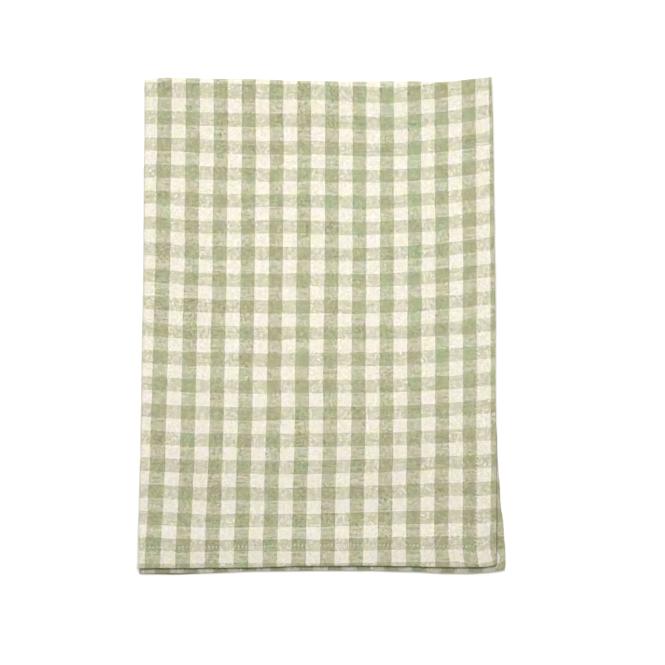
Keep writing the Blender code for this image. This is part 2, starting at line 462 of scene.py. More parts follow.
@dataclass
class FoldedCloth:
    """The towel's one sheet of cloth with its hems, folded lengthwise and then crosswise."""

    layout: CheckLayout

    # The folded towel without the unevenness of its edges, and its edges.
    left: float = -128.5 * MM
    right: float = 125.0 * MM
    top: float = 176.0 * MM
    bottom: float = -172.0 * MM
    sides: tuple[Edges, ...] = SIDES
    ends: tuple[Edges, ...] = ENDS

    # The cloth, its hems and the air between the layers. A pair of leaves rises to the height
    # of its hems on the way in from the edge, and the upper pair swells here and there.
    cloth_thickness: float = 1.0 * MM
    hem_thickness: float = 1.5 * MM
    hem_width: float = 15.7 * MM
    hem_ledge: float = 0.8 * MM
    hem_rim: float = 0.75 * MM
    side_hem_narrowing: float = 4.2 * MM
    narrowing_reach: tuple[float, float] = (20.0 * MM, 90.0 * MM)
    rim_thickness: float = 0.35
    leaf_gap: float = 0.4 * MM
    air: float = 0.6 * MM
    hem_rise_start: float = 38.0 * MM
    hem_rise_end: float = 19.0 * MM
    swells: tuple[Swell, ...] = (
        Swell(x=-64, y=52, reach=58, lift=0.7),
        Swell(x=36, y=-48, reach=66, lift=0.8),
        Swell(x=78, y=84, reach=46, lift=0.9),
        Swell(x=-92, y=-104, reach=44, lift=0.6),
        Swell(x=108, y=-128, reach=30, lift=0.2),
    )

    # The folds spring open a little, and lie closed again this far in.
    left_fold_loft: float = 0.5 * MM
    left_fold_reach: float = 10.0 * MM
    top_fold_loft: float = 1.4 * MM
    top_fold_reach: float = 16.0 * MM
    lower_fold_set_in: float = 0.9 * MM

    # The seam that holds the hems draws the cloth in along a shallow groove.
    seam_from_edge: float = 15.2 * MM
    groove_depth: float = 0.28 * MM
    groove_width: float = 0.9 * MM

    # Unevenness of the whole stack, long and short ripples with a share and a seed for each.
    ripple_height: float = 0.55 * MM
    ripple_lengths: tuple[float, float] = (62.0 * MM, 24.0 * MM)
    ripple_shares: tuple[float, float] = (0.72, 0.28)
    ripple_seeds: tuple[float, float] = (0.37, 5.81)

    # Unevenness of each hem, in height and in outline, from a little inside its seam.
    pucker_height: float = 0.16 * MM
    pucker_length: float = 13.0 * MM
    pucker_seed: float = 2.63
    scallop: float = 0.22 * MM
    scallop_length: float = 16.0 * MM
    scallop_seed: float = 9.17
    hem_play_reach: float = 19.76 * MM
    side_hem_seed: float = 3.1
    end_hem_seed: float = 13.7

    # The grid of the mesh.
    left_fold_steps: int = 10
    top_fold_steps: int = 16
    plain_step: float = 3.5 * MM
    steps_from_fold: tuple[float, ...] = (1.2 * MM, 2.8 * MM, 5.2 * MM)
    steps_from_hem: tuple[float, ...] = (19.0 * MM, 17.4 * MM, 16.5 * MM, 15.8 * MM, 15.2 * MM,
                                         14.6 * MM, 13.5 * MM, 10.6 * MM, 7.6 * MM, 4.6 * MM,
                                         2.2 * MM, 0.75 * MM, 0.4 * MM, 0.15 * MM, 0.0)

    flat_size: tuple[float, float] = (0.507, 0.696)

    @property
    def width(self) -> float:
        """Width of the folded towel."""
        return self.right - self.left

    @property
    def length(self) -> float:
        """Length of the folded towel."""
        return self.top - self.bottom

    def pair_height(self, x: float, y: float) -> float:
        """Height of a pair of leaves with the air between them.

        Args:
            x: How far across the towel.
            y: How far up the towel.

        Returns:
            The height, which rises towards the hems and at the lengthwise fold.
        """
        plain = 2.0 * self.cloth_thickness + self.leaf_gap
        span = self.hem_rise_start - self.hem_rise_end
        side = ease((x - (self.right - self.hem_rise_start)) / span)
        end = ease(((self.bottom + self.hem_rise_start) - y) / span)
        near_hem = 1.0 - (1.0 - side) * (1.0 - end)
        rise = 2.0 * (self.hem_thickness - self.cloth_thickness) * near_hem
        return plain + rise + self.left_fold_loft * fade(x - self.left, self.left_fold_reach)

    def middle_gap(self, x: float, y: float) -> float:
        """Air between the two pairs of leaves.

        Args:
            x: How far across the towel.
            y: How far up the towel.

        Returns:
            The gap, which is widest in the crosswise fold.
        """
        swells = sum(
            swell.lift * MM * fade(hypot(x - swell.x * MM, y - swell.y * MM), swell.reach * MM)
            for swell in self.swells
        )
        return self.air + swells + self.top_fold_loft * fade(self.top - y, self.top_fold_reach)

    def along_line(self, station: Station) -> AlongLine:
        """Find what a thread along the towel meets.

        Args:
            station: Its station across the towel.

        Returns:
            The thread.
        """
        outer = station.turn > QUARTER_TURN
        plain_x = self.left + self.width * station.run
        upper, lower = ("hem_1", "hem_4") if outer else ("hem_2", "hem_3")
        edges = (edge_place(self.ends, column, plain_x) for column in ("fold", upper, lower))
        return AlongLine(station, outer, plain_x, *edges)

    def across_line(self, station: Station) -> AcrossLine:
        """Find what a thread across the towel meets.

        Args:
            station: Its station along the towel.

        Returns:
            The thread.
        """
        upper = station.turn > QUARTER_TURN
        plain_y = self.top - self.length * station.run
        outer, inner = ("hem_1", "hem_2") if upper else ("hem_4", "hem_3")
        set_in = 0.0 if upper else self.lower_fold_set_in * station.run
        fold, *hems = (edge_place(self.sides, name, plain_y) for name in ("fold", outer, inner))
        return AcrossLine(station, upper, plain_y, fold + set_in, *hems)

    def share_across(self, run_across: float, run_down: float) -> float:
        """The share of the way to the side hem, as the hem is narrower towards the top fold.

        Args:
            run_across: The share along a station, 0 at the fold and 1 at the hem.
            run_down: The share of the way from the crosswise fold to the end hem.

        Returns:
            The share of the width at which the station lies.
        """
        from_side = self.width * (1.0 - run_across)
        start, end = self.narrowing_reach
        moved = min(from_side / self.seam_from_edge, 1.0)
        moved *= 1.0 - ease((from_side - start) / (end - start))
        return run_across + self.side_hem_narrowing * (1.0 - run_down) * moved / self.width

    def half_thickness(self, from_side: float, from_end: float) -> tuple[float, float]:
        """Half the sheet's thickness, full and as drawn in at its rim and its seam.

        Args:
            from_side: Distance from the side hem's edge.
            from_end: Distance from the end hem's edge.

        Returns:
            Half the full thickness, and half the thickness that is left.
        """
        nearest = min(from_side, from_end)
        hem = 1.0 - ease((nearest - self.hem_width) / self.hem_ledge)
        full = blend(self.cloth_thickness, self.hem_thickness, hem) / 2.0
        inside_rim = min(nearest / self.hem_rim, 1.0)
        round_rim = (1.0 - (1.0 - inside_rim) ** 2) ** 0.5
        drawn = full * blend(self.rim_thickness, 1.0, round_rim)
        return full, drawn - max(self._groove(from_side, from_end),
                                 self._groove(from_end, from_side))

    def _groove(self, from_edge: float, from_corner: float) -> float:
        """The groove of one seam.

        Args:
            from_edge: Distance from the edge of the seam's own hem.
            from_corner: Distance from the edge of the hem that it runs into.

        Returns:
            The groove's depth.
        """
        depth = exp(-(((from_edge - self.seam_from_edge) / self.groove_width) ** 2))
        inside = ease((from_corner - self.seam_from_edge) / self.groove_width + 1.0)
        return self.groove_depth * depth * inside

    def ripple(self, x: float, y: float) -> float:
        """The soft unevenness of the whole stack.

        Args:
            x: How far across the towel.
            y: How far up the towel.

        Returns:
            How far the top of the stack is lifted.
        """
        ripples = zip(self.ripple_lengths, self.ripple_shares, self.ripple_seeds)
        return self.ripple_height * sum(
            share * noise.noise(Vector((x / length, y / length, seed)))
            for length, share, seed in ripples
        )

    def hem_unevenness(self, along: float, from_edge: float, seed: float) -> tuple[float, float]:
        """How a hem lies unevenly between its seam and its edge.

        Args:
            along: Distance along the hem.
            from_edge: Distance from the hem's edge.
            seed: A number for this hem.

        Returns:
            How far the hem is lifted, and how far its edge is moved outwards.
        """
        near = 1.0 - ease(from_edge / self.hem_play_reach)
        pucker = noise.noise(Vector((along / self.pucker_length, seed, self.pucker_seed)))
        outline = noise.noise(Vector((along / self.scallop_length, seed, self.scallop_seed)))
        return self.pucker_height * pucker * near, self.scallop * outline * near

    def fold_axes(self, along: AlongLine, across: AcrossLine) -> tuple[float, float]:
        """Where the two folds' axes lie.

        Args:
            along: A thread along the towel.
            across: A thread across the towel.

        Returns:
            The x of the lengthwise fold's axis and the y of the crosswise fold's.
        """
        height = self.pair_height(along.plain_x, self.top)
        fold_y = along.top - height - self.middle_gap(along.plain_x, self.top) / 2.0
        return across.left + self.pair_height(self.left, across.plain_y) / 2.0, fold_y

    def side_edge(self, along: AlongLine, across: AcrossLine) -> float:
        """Where the edge of the side hem lies that a thread across the towel runs to."""
        return across.outer_hem if along.outer else across.inner_hem

    def flat_place(self, along: AlongLine, across: AcrossLine) -> tuple[float, float]:
        """Where a point lies on its leaf, before it is turned round the folds.

        Args:
            along: The thread along the towel that the point is on.
            across: The thread across the towel that it is on.

        Returns:
            The point's x and y.
        """
        fold_x, fold_y = self.fold_axes(along, across)
        run_across, run_down = along.station.run, across.station.run
        bottom = along.upper_hem if across.upper else along.lower_hem
        x = blend(fold_x, self.side_edge(along, across), self.share_across(run_across, run_down))
        return x, blend(fold_y, bottom, run_down)

    def place(self, along: AlongLine, across: AcrossLine, side: ClothSide) -> Vector:
        """Where a point of the cloth lies in the folded towel.

        Args:
            along: The thread along the towel that the point is on.
            across: The thread across the towel that it is on.
            side: The side of the cloth.

        Returns:
            The point's place.
        """
        run_across, turn_across = along.station
        run_down, turn_down = across.station
        from_side = self.width * (1.0 - run_across)
        from_end = self.length * (1.0 - run_down)
        full, half = self.half_thickness(from_side, from_end)

        x, y = self.flat_place(along, across)
        pair = self.pair_height(x, y)
        gap = self.middle_gap(x, y)
        radius = pair / 2.0 - full + side.value * half
        height_in_pair = pair / 2.0 - radius * cos(turn_across)
        roll = gap / 2.0 + height_in_pair
        place = Vector((
            x - radius * sin(turn_across),
            y + roll * sin(turn_down),
            gap / 2.0 + pair - roll * cos(turn_down),
        ))
        return place + self._unevenness(place, along, across, from_side, from_end)

    def _unevenness(self, place: Vector, along: AlongLine, across: AcrossLine,
                    from_side: float, from_end: float) -> Vector:
        """How far a point is moved by ripples, puckers and scallops.

        Args:
            place: Where it lies without them.
            along: The thread along the towel that it is on.
            across: The thread across the towel that it is on.
            from_side: Distance from the side hem's edge.
            from_end: Distance from the end hem's edge.

        Returns:
            The move, which leaves what lies on the floor at its height.
        """
        layer = 1.0 * along.outer + 2.0 * across.upper
        stack = 2.0 * self.pair_height(place.x, place.y) + self.middle_gap(place.x, place.y)
        share = min(max(place.z / stack, 0.0), 1.0)
        side_lift, outwards = self.hem_unevenness(place.y, from_side, self.side_hem_seed + layer)
        end_lift, downwards = self.hem_unevenness(place.x, from_end, self.end_hem_seed + layer)
        above_floor = ease(place.z / self.cloth_thickness - 0.5)
        return Vector((
            outwards,
            -downwards,
            self.ripple(place.x, place.y) * share + (side_lift + end_lift) * above_floor,
        ))

    def check_place(self, along: AlongLine, across: AcrossLine) -> tuple[float, float]:
        """Where a point of the cloth lies in its check.

        Args:
            along: The thread along the towel that the point is on.
            across: The thread across the towel that it is on.

        Returns:
            The point's column and row.
        """
        turn_across = along.station.turn
        run_down, turn_down = across.station
        fold_x, fold_y = self.fold_axes(along, across)
        x, y = self.flat_place(along, across)
        radius = (self.pair_height(self.left, across.plain_y) - self.cloth_thickness) / 2.0
        along_leaf = radius * abs(turn_across - QUARTER_TURN) + x - fold_x
        column = self.layout.column(along_leaf, along.outer, across.upper, run_down,
                                    self.length * (1.0 - run_down))

        # The rows run on round the crosswise fold by the length of cloth in it.
        pair = self.pair_height(along.plain_x, self.top)
        radius = (pair - self.cloth_thickness) / 2.0
        fold_middle = (self.middle_gap(along.plain_x, self.top) + pair) / 2.0
        pitch = self.layout.fold_row_pitch * MM
        from_side = self.side_edge(along, across) - x
        flat_start = self.layout.row(fold_y, along_leaf, from_side, 0.0)
        middle = flat_start + QUARTER_TURN * (fold_middle + radius) / pitch
        roll = fold_middle - radius * cos(turn_across)
        row = middle - roll * (turn_down - QUARTER_TURN) / pitch
        if not across.upper:
            return column, blend(row, self.layout.last_row, run_down)
        flat = self.layout.row(y, along_leaf, from_side, run_down)
        return column, flat + (row - flat_start) * (1.0 - run_down)

    def leaf_stations(self, length: float) -> list[float]:
        """Divide a leaf, closely near its fold and its hem.

        Args:
            length: The leaf's length.

        Returns:
            Shares of the length from the fold to the hem.
        """
        first = self.steps_from_fold[-1]
        last = length - self.steps_from_hem[0]
        plain = round((last - first) / self.plain_step)
        middle = [blend(first, last, step / plain) for step in range(1, plain)]
        near_hem = [length - step for step in self.steps_from_hem]
        return [distance / length for distance in [0.0, *self.steps_from_fold, *middle, *near_hem]]

    def fold_stations(self, length: float, fold_steps: int) -> list[Station]:
        """Divide the cloth from one hem, round the fold, to the other hem.

        Args:
            length: The length of the leaf on each side of the fold.
            fold_steps: How many steps go round the fold.

        Returns:
            The stations in order.
        """
        runs = self.leaf_stations(length)
        before = [Station(run, 0.0) for run in reversed(runs)]
        round_fold = [Station(0.0, pi * step / fold_steps) for step in range(1, fold_steps)]
        after = [Station(run, pi) for run in runs]
        return before + round_fold + after

    def build(self) -> bpy.types.Object:
        """Model the cloth: one slab, a grid cell thick, moved point by point into its folds.

        Returns:
            The cloth's object, with the check's columns and rows as its UV map.
        """
        along = [self.along_line(s) for s in self.fold_stations(self.width, self.left_fold_steps)]
        down = self.fold_stations(self.length, self.top_fold_steps)[::-1]
        across = [self.across_line(station) for station in down]
        columns, rows = len(along) - 1, len(across) - 1

        sheet = bmesh.new()
        bmesh.ops.create_grid(sheet, x_segments=columns, y_segments=rows, size=0.5)
        turned_up = bmesh.ops.extrude_face_region(sheet, geom=sheet.faces[:])
        show_side = [item for item in turned_up["geom"] if isinstance(item, bmesh.types.BMVert)]
        bmesh.ops.translate(sheet, vec=(0.0, 0.0, 1.0), verts=show_side)
        bmesh.ops.recalc_face_normals(sheet, faces=sheet.faces[:])

        checks = {}
        for point in sheet.verts:
            column = round((point.co.x + 0.5) * columns)
            row = round((point.co.y + 0.5) * rows)
            side = ClothSide.SHOW if point.co.z > 0.5 else ClothSide.WRONG
            point.co = self.place(along[column], across[row], side)
            if (column, row) not in checks:
                checks[column, row] = self.check_place(along[column], across[row])
            point.index = row * (columns + 1) + column

        check_map = sheet.loops.layers.uv.new(CHECK_MAP)
        for face in sheet.faces:
            for corner in face.loops:
                row, column = divmod(corner.vert.index, columns + 1)
                corner[check_map].uv = checks[column, row]

        mesh = close_mesh(sheet, "folded_cloth")
        mesh.shade_smooth()
        return add_object("folded_cloth", mesh)

    def dress(self, cloth: bpy.types.Object, finish: "GinghamFinish") -> None:
        """Give the cloth its finish, attach it to its body and hide the imported cloth part.

        Args:
            cloth: The cloth's object.
            finish: Its finish.
        """
        cloth.data.materials.append(finish.build())
        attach(cloth, BODY)
        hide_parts(CLOTH_NODE)


@dataclass
class HemStitching:
    """The lockstitched seams that hold the four hems, on both sides of the cloth."""

    cloth: FoldedCloth

    # The stitches: how far apart, how large, and how far they stand out of the cloth.
    pitch: float = 2.65 * MM
    stitch_length: float = 2.2 * MM
    thread_width: float = 0.95 * MM
    thread_height: float = 0.50 * MM
    proud: float = 0.20 * MM

    # How they lie: turned across the seam, more or less so, and a little to its sides.
    lean: float = radians(58.0)
    sway: float = radians(18.0)
    step_aside: float = 0.12 * MM

    # The faces round and along one stitch, and the number that their unevenness starts from.
    round_faces: int = 6
    long_faces: int = 4
    seed: int = 11

    def path_station(self, distance: float, leaf: float, roll: float) -> Station:
        """The station a distance along a thread, from the upper or outer hem's edge.

        Args:
            distance: Distance along the cloth.
            leaf: Length of the flat cloth on each side of the fold.
            roll: Length of the cloth round the fold.

        Returns:
            The station there.
        """
        if distance <= leaf:
            return Station(1.0 - distance / leaf, pi)
        if distance < leaf + roll:
            return Station(0.0, pi * (1.0 - (distance - leaf) / roll))
        return Station((distance - leaf - roll) / leaf, 0.0)

    def point(self, line: HemLine, seam: Station, distance: float, aside: float,
              side: ClothSide) -> Vector:
        """A point of the cloth's surface beside a seam.

        Args:
            line: Whether the seam runs along the towel or across it.
            seam: The station of the seam.
            distance: Distance along the seam.
            aside: Distance from the seam towards the fold.
            side: The side of the cloth.

        Returns:
            The point's place.
        """
        cloth = self.cloth
        roll = self.roll_length(line, seam)
        if line is HemLine.ALONG:
            moved = Station(seam.run - aside / cloth.width, seam.turn)
            on_path = self.path_station(distance, cloth.length, roll)
            return cloth.place(cloth.along_line(moved), cloth.across_line(on_path), side)
        moved = Station(seam.run - aside / cloth.length, seam.turn)
        on_path = self.path_station(distance, cloth.width, roll)
        return cloth.place(cloth.along_line(on_path), cloth.across_line(moved), side)

    def roll_length(self, line: HemLine, seam: Station) -> float:
        """Length of the cloth round the fold that a seam crosses.

        Args:
            line: Whether the seam runs along the towel or across it.
            seam: The station of the seam.

        Returns:
            The length.
        """
        cloth = self.cloth
        if line is HemLine.ACROSS:
            pair = cloth.pair_height(cloth.left, cloth.bottom)
            return pi * (pair - cloth.hem_thickness) / 2.0
        x = blend(cloth.left, cloth.right, seam.run)
        pair = cloth.pair_height(x, cloth.top)
        inner = cloth.middle_gap(x, cloth.top) / 2.0 + cloth.hem_thickness / 2.0
        outer = inner + pair - cloth.hem_thickness
        return pi * (outer if seam.turn > QUARTER_TURN else inner)

    def build(self) -> bpy.types.Object:
        """Model every stitch of the four seams, joined into one piece.

        Returns:
            The stitching's object.
        """
        cloth = self.cloth
        jitter = random.Random(self.seed)
        grain = self.build_grain()
        stitches = bmesh.new()
        seams = (
            (HemLine.ALONG, cloth.width, cloth.length),
            (HemLine.ACROSS, cloth.length, cloth.width),
        )
        for line, span, leaf in seams:
            for turn in (pi, 0.0):
                seam = Station(1.0 - cloth.seam_from_edge / span, turn)
                whole = 2.0 * leaf + self.roll_length(line, seam)
                first, last = cloth.seam_from_edge, whole - cloth.seam_from_edge
                count = round((last - first) / self.pitch)
                for stitch in range(count):
                    distance = blend(first, last, (stitch + 0.5) / count)
                    for side in ClothSide:
                        placed = grain.copy()
                        placed.transform(self.stitch_place(line, seam, distance, side, jitter))
                        stitches.from_mesh(placed)
                        bpy.data.meshes.remove(placed)
        bpy.data.meshes.remove(grain)
        mesh = close_mesh(stitches, "hem_stitching")
        mesh.shade_smooth()
        return add_object("hem_stitching", mesh)

    def build_grain(self) -> bpy.types.Mesh:
        """Model one stitch, a plump grain of thread that lies along Z, a metre long and wide.

        Returns:
            The grain's mesh.
        """
        form = bmesh.new()
        bmesh.ops.create_uvsphere(
            form, u_segments=self.round_faces, v_segments=self.long_faces, radius=0.5
        )
        return close_mesh(form, "stitch")

    def stitch_place(self, line: HemLine, seam: Station, distance: float, side: ClothSide,
                     jitter: random.Random) -> Matrix:
        """Where one stitch lies in its seam's groove, and how large it is.

        Args:
            line: Whether the seam runs along the towel or across it.
            seam: The station of the seam.
            distance: Distance along the seam of the middle of the stitch.
            side: The side of the cloth.
            jitter: The source of the stitches' unevenness.

        Returns:
            The matrix that puts a grain of thread there.
        """
        reach = self.stitch_length / 2.0
        aside = jitter.uniform(-self.step_aside, self.step_aside)
        middle = self.point(line, seam, distance, aside, side)
        ahead = self.point(line, seam, distance + reach, aside, side)
        behind = self.point(line, seam, distance - reach, aside, side)
        beside = self.point(line, seam, distance, aside + reach, side)
        forward = (ahead - behind).normalized()
        outwards = forward.cross(beside - middle).normalized()
        if outwards.dot(self.outward_hint(line, seam, distance, side)) < 0.0:
            outwards.negate()
        turned = self.lean + jitter.uniform(-self.sway, self.sway)
        forward.rotate(Matrix.Rotation(turned, 3, outwards))
        sideways = outwards.cross(forward)
        size = (self.thread_width, self.thread_height, self.stitch_length)
        axes = Matrix((sideways, outwards, forward)).transposed().to_4x4()
        centre = (ahead + behind + 2.0 * middle) / 4.0
        centre += outwards * (self.proud - self.thread_height / 2.0 + self.cloth.groove_depth)
        return Matrix.Translation(centre) @ axes @ Matrix.Diagonal((*size, 1.0))

    def outward_hint(self, line: HemLine, seam: Station, distance: float,
                     side: ClothSide) -> Vector:
        """The way out of one side of the cloth, from the other side to it."""
        here = self.point(line, seam, distance, 0.0, side)
        return here - self.point(line, seam, distance, 0.0, ClothSide(-side.value))

    def dress(self, stitching: bpy.types.Object, finish: "ThreadFinish") -> None:
        """Give the stitching its finish and attach it to its body.

        Args:
            stitching: The stitching's object.
            finish: Its finish.
        """
        stitching.data.materials.append(finish.build())
        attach(stitching, BODY)


class NodeSheet:
    """Lays out shader nodes in one tree and wires them."""

    per_line = 8
    spacing = (200.0, -220.0)
    mixed_colours = (6, 7)      # the Mix node's inputs and output for colours
    mix_result = 2

    def __init__(self, tree: bpy.types.NodeTree) -> None:
        """Work on a tree."""
        self.tree = tree
        self.count = 0

    def node(self, kind: str, label: str = "", **settings: object) -> bpy.types.Node:
        """Add a node.

        Args:
            kind: The node's type.
            label: What it is for.
            settings: Its properties.

        Returns:
            The node.
        """
        added = self.tree.nodes.new(kind)
        added.label = label
        line, place = divmod(self.count, self.per_line)
        added.location = (self.spacing[0] * place, self.spacing[1] * line)
        self.count += 1
        for name, setting in settings.items():
            setattr(added, name, setting)
        return added

    def feed(self, socket: Socket, value: Value) -> None:
        """Wire a socket to another one, or set it.

        Args:
            socket: The socket.
            value: Another node's output, or a number or a colour.
        """
        if isinstance(value, Socket):
            self.tree.links.new(value, socket)
        else:
            socket.default_value = value

    def math(self, operation: str, first: Value, second: Value = 0.0, label: str = "") -> Socket:
        """Add a Math node.

        Args:
            operation: What it does.
            first: Its first value.
            second: Its second value.
            label: What it is for.

        Returns:
            The result.
        """
        added = self.node("ShaderNodeMath", label, operation=operation)
        self.feed(added.inputs[0], first)
        self.feed(added.inputs[1], second)
        return added.outputs[0]

    def swing(self, value: Value, strength: Value, label: str = "") -> Socket:
        """A value from 0 to 1 made to swing around 0, as far as a strength takes it."""
        return self.math("MULTIPLY", self.math("SUBTRACT", value, 0.5), strength, label)

    def level(self, share: Value, low: float, high: float) -> Socket:
        """A value a share of the way from low to high."""
        return self.math("ADD", self.math("MULTIPLY", share, high - low), low)

    def ramp(self, value: Value, low: float, high: float, start: float, end: float) -> Socket:
        """Take a value smoothly from one range to another.

        Args:
            value: The value.
            low: Where the first range begins.
            high: Where it ends.
            start: Where the second range begins.
            end: Where it ends.

        Returns:
            The value in the second range.
        """
        added = self.node("ShaderNodeMapRange", interpolation_type="SMOOTHSTEP")
        for socket, given in zip(added.inputs, (value, low, high, start, end)):
            self.feed(socket, given)
        return added.outputs["Result"]

    def mix(self, share: Value, first: Value, second: Value, label: str = "",
            blend_type: str = "MIX") -> Socket:
        """Mix two colours.

        Args:
            share: How much of the second one.
            first: One colour.
            second: The other.
            label: What the mix is for.
            blend_type: How they mix.

        Returns:
            The mixed colour.
        """
        added = self.node("ShaderNodeMix", label, data_type="RGBA", blend_type=blend_type)
        self.feed(added.inputs["Factor"], share)
        for place, colour in zip(self.mixed_colours, (first, second)):
            self.feed(added.inputs[place], colour)
        return added.outputs[self.mix_result]

    def scale_colour(self, colour: Value, factor: Value, label: str = "") -> Socket:
        """Make a colour lighter or darker.

        Args:
            colour: The colour.
            factor: What its red, green and blue are multiplied by.
            label: What for.

        Returns:
            The new colour.
        """
        added = self.node("ShaderNodeVectorMath", label, operation="SCALE")
        self.feed(added.inputs[0], colour)
        self.feed(added.inputs["Scale"], factor)
        return added.outputs[0]

    def vector(self, x: Value = 0.0, y: Value = 0.0, z: Value = 0.0, label: str = "") -> Socket:
        """Put a vector together.

        Args:
            x: Its first part.
            y: Its second part.
            z: Its third part.
            label: What it is for.

        Returns:
            The vector.
        """
        added = self.node("ShaderNodeCombineXYZ", label)
        for socket, given in zip(added.inputs, (x, y, z)):
            self.feed(socket, given)
        return added.outputs[0]

    def split(self, vector: Value) -> tuple[Socket, Socket]:
        """Take a vector's first two parts.

        Args:
            vector: The vector.

        Returns:
            Its x and its y.
        """
        added = self.node("ShaderNodeSeparateXYZ")
        self.feed(added.inputs[0], vector)
        return added.outputs["X"], added.outputs["Y"]

    def noise(self, vector: Value, scale: float, detail: float, label: str = "") -> Socket:
        """Smooth two-dimensional noise.

        Args:
            vector: Where it is read.
            scale: How fine it is.
            detail: How many finer layers it has.
            label: What it is for.

        Returns:
            The noise, from 0 to 1.
        """
        added = self.node("ShaderNodeTexNoise", label, noise_dimensions="2D")
        self.feed(added.inputs["Vector"], vector)
        self.feed(added.inputs["Scale"], scale)
        self.feed(added.inputs["Detail"], detail)
        return added.outputs["Fac"]

    def drawn(self, x: Value, y: Value, label: str) -> Socket:
        """A random value for each cell between whole numbers.

        Args:
            x: A place counted in cells one way.
            y: A place counted in cells the other way.
            label: What it is for.

        Returns:
            The cell's own value, from 0 to 1.
        """
        added = self.node("ShaderNodeTexWhiteNoise", label, noise_dimensions="2D")
        cell = self.vector(self.math("FLOOR", x), self.math("FLOOR", y))
        self.feed(added.inputs["Vector"], cell)
        return added.outputs["Value"]

    def group(self, tree: bpy.types.NodeTree, label: str, **values: Value) -> bpy.types.Node:
        """Place a node group.

        Args:
            tree: The group.
            label: What it is for.
            values: Its inputs, named with underscores for spaces.

        Returns:
            The group's node.
        """
        added = self.node("ShaderNodeGroup", label, node_tree=tree)
        for name, value in values.items():
            self.feed(added.inputs[name.replace("_", " ")], value)
        return added

    def relief(self, shader: bpy.types.Node, height: Socket, strength: float, depth: float,
               label: str) -> None:
        """Give a shader a relief through a Bump node.

        Args:
            shader: The shader.
            height: The height, about 0 to 1.
            strength: How much of the relief shows.
            depth: The depth that a height of 1 stands for.
            label: What it is.
        """
        bump = self.node("ShaderNodeBump", label)
        self.feed(bump.inputs["Strength"], strength)
        self.feed(bump.inputs["Distance"], depth)
        self.feed(bump.inputs["Height"], height)
        self.feed(shader.inputs["Normal"], bump.outputs["Normal"])


def new_material(name: str, **settings: Value) -> tuple[bpy.types.Material, bpy.types.Node]:
    """Start a material.

    Args:
        name: Its name.
        settings: What its shader's inputs are set to, named with underscores for spaces.

    Returns:
        The material and its Principled BSDF.
    """
    material = bpy.data.materials.new(name)
    material.use_nodes = True
    shader = material.node_tree.nodes["Principled BSDF"]
    for socket, setting in settings.items():
        shader.inputs[socket.replace("_", " ")].default_value = setting
    return material, shader


def new_group(name: str, inputs: dict[str, float],
              outputs: tuple[str, ...]) -> tuple[dict[str, Socket], NodeSheet]:
    """Start a shader node group whose inputs and outputs are plain values.

    Args:
        name: The group's name.
        inputs: Each input's name and default.
        outputs: Each output's name.

    Returns:
        The group's input sockets by name and a sheet to add nodes with.
    """
    tree = bpy.data.node_groups.new(name, "ShaderNodeTree")
    for label, default in inputs.items():
        socket = tree.interface.new_socket(label, in_out="INPUT", socket_type="NodeSocketFloat")
        socket.default_value = default
    for label in outputs:
        tree.interface.new_socket(label, in_out="OUTPUT", socket_type="NodeSocketFloat")
    sheet = NodeSheet(tree)
    entry = sheet.node("NodeGroupInput")
    return {socket.name: socket for socket in entry.outputs}, sheet


def close_group(sheet: NodeSheet, **results: Socket) -> bpy.types.NodeTree:
    """Finish a node group.

    Args:
        sheet: The group's sheet.
        results: What its outputs are fed, named with underscores for spaces.

    Returns:
        The group.
    """
    leave = sheet.node("NodeGroupOutput")
    for name, result in results.items():
        sheet.feed(leave.inputs[name.replace("_", " ")], result)
    return sheet.tree


@dataclass(frozen=True)
class YarnTone:
    """The uneven tone of a spun yarn, thread by thread, as a node group."""

    thread_spacing: float = 3.71    # keeps the noise of neighbouring threads apart
    along_scale: float = 0.8
    along_detail: float = 2.0
    fleck_shift: float = 40.0       # each thread's flecks start at another place, in flecks
    thick_shift: float = 57.3       # reads the noise for thick places elsewhere
    thick_scale: float = 0.55

    def group(self) -> bpy.types.NodeTree:
        """Build or find the group.

        Returns:
            A group that takes a thread's number, a place along it in checks and how strong each
            unevenness is, and puts out a factor near 1 for its tone, and its thickness from 0
            to 1.
        """
        found = bpy.data.node_groups.get("yarn_tone")
        if found:
            return found
        given, sheet = new_group(
            "yarn_tone",
            {
                "Thread": 0.0,
                "Along": 0.0,
                "Thread Strength": 0.03,
                "Along Strength": 0.05,
                "Fleck Strength": 0.0,
                "Flecks per Check": 7.0,
            },
            ("Tone", "Thick"),
        )
        own = sheet.node("ShaderNodeTexWhiteNoise", "each thread's own", noise_dimensions="1D")
        sheet.feed(own.inputs["W"], given["Thread"])
        own_value = own.outputs["Value"]
        thread = sheet.swing(own_value, given["Thread Strength"], "thread tone")

        spread = sheet.math("MULTIPLY", given["Thread"], self.thread_spacing)
        lane = sheet.vector(spread, given["Along"])
        drift = sheet.noise(lane, self.along_scale, self.along_detail, "tone along the thread")
        along = sheet.swing(drift, given["Along Strength"])

        flecks = sheet.math("MULTIPLY", given["Along"], given["Flecks per Check"])
        shift = sheet.math("MULTIPLY", own_value, self.fleck_shift)
        flecks = sheet.math("ADD", flecks, shift, "place in flecks")
        drawn = sheet.drawn(given["Thread"], flecks, "flecks")
        fleck = sheet.swing(drawn, given["Fleck Strength"], "fleck tone")

        uneven = sheet.math("ADD", thread, along)
        tone = sheet.math("ADD", uneven, sheet.math("ADD", fleck, 1.0), "tone")
        far = sheet.vector(sheet.math("ADD", spread, self.thick_shift), given["Along"])
        thick = sheet.noise(far, self.thick_scale, 0.0, "thick and thin places")
        return close_group(sheet, Tone=tone, Thick=thick)


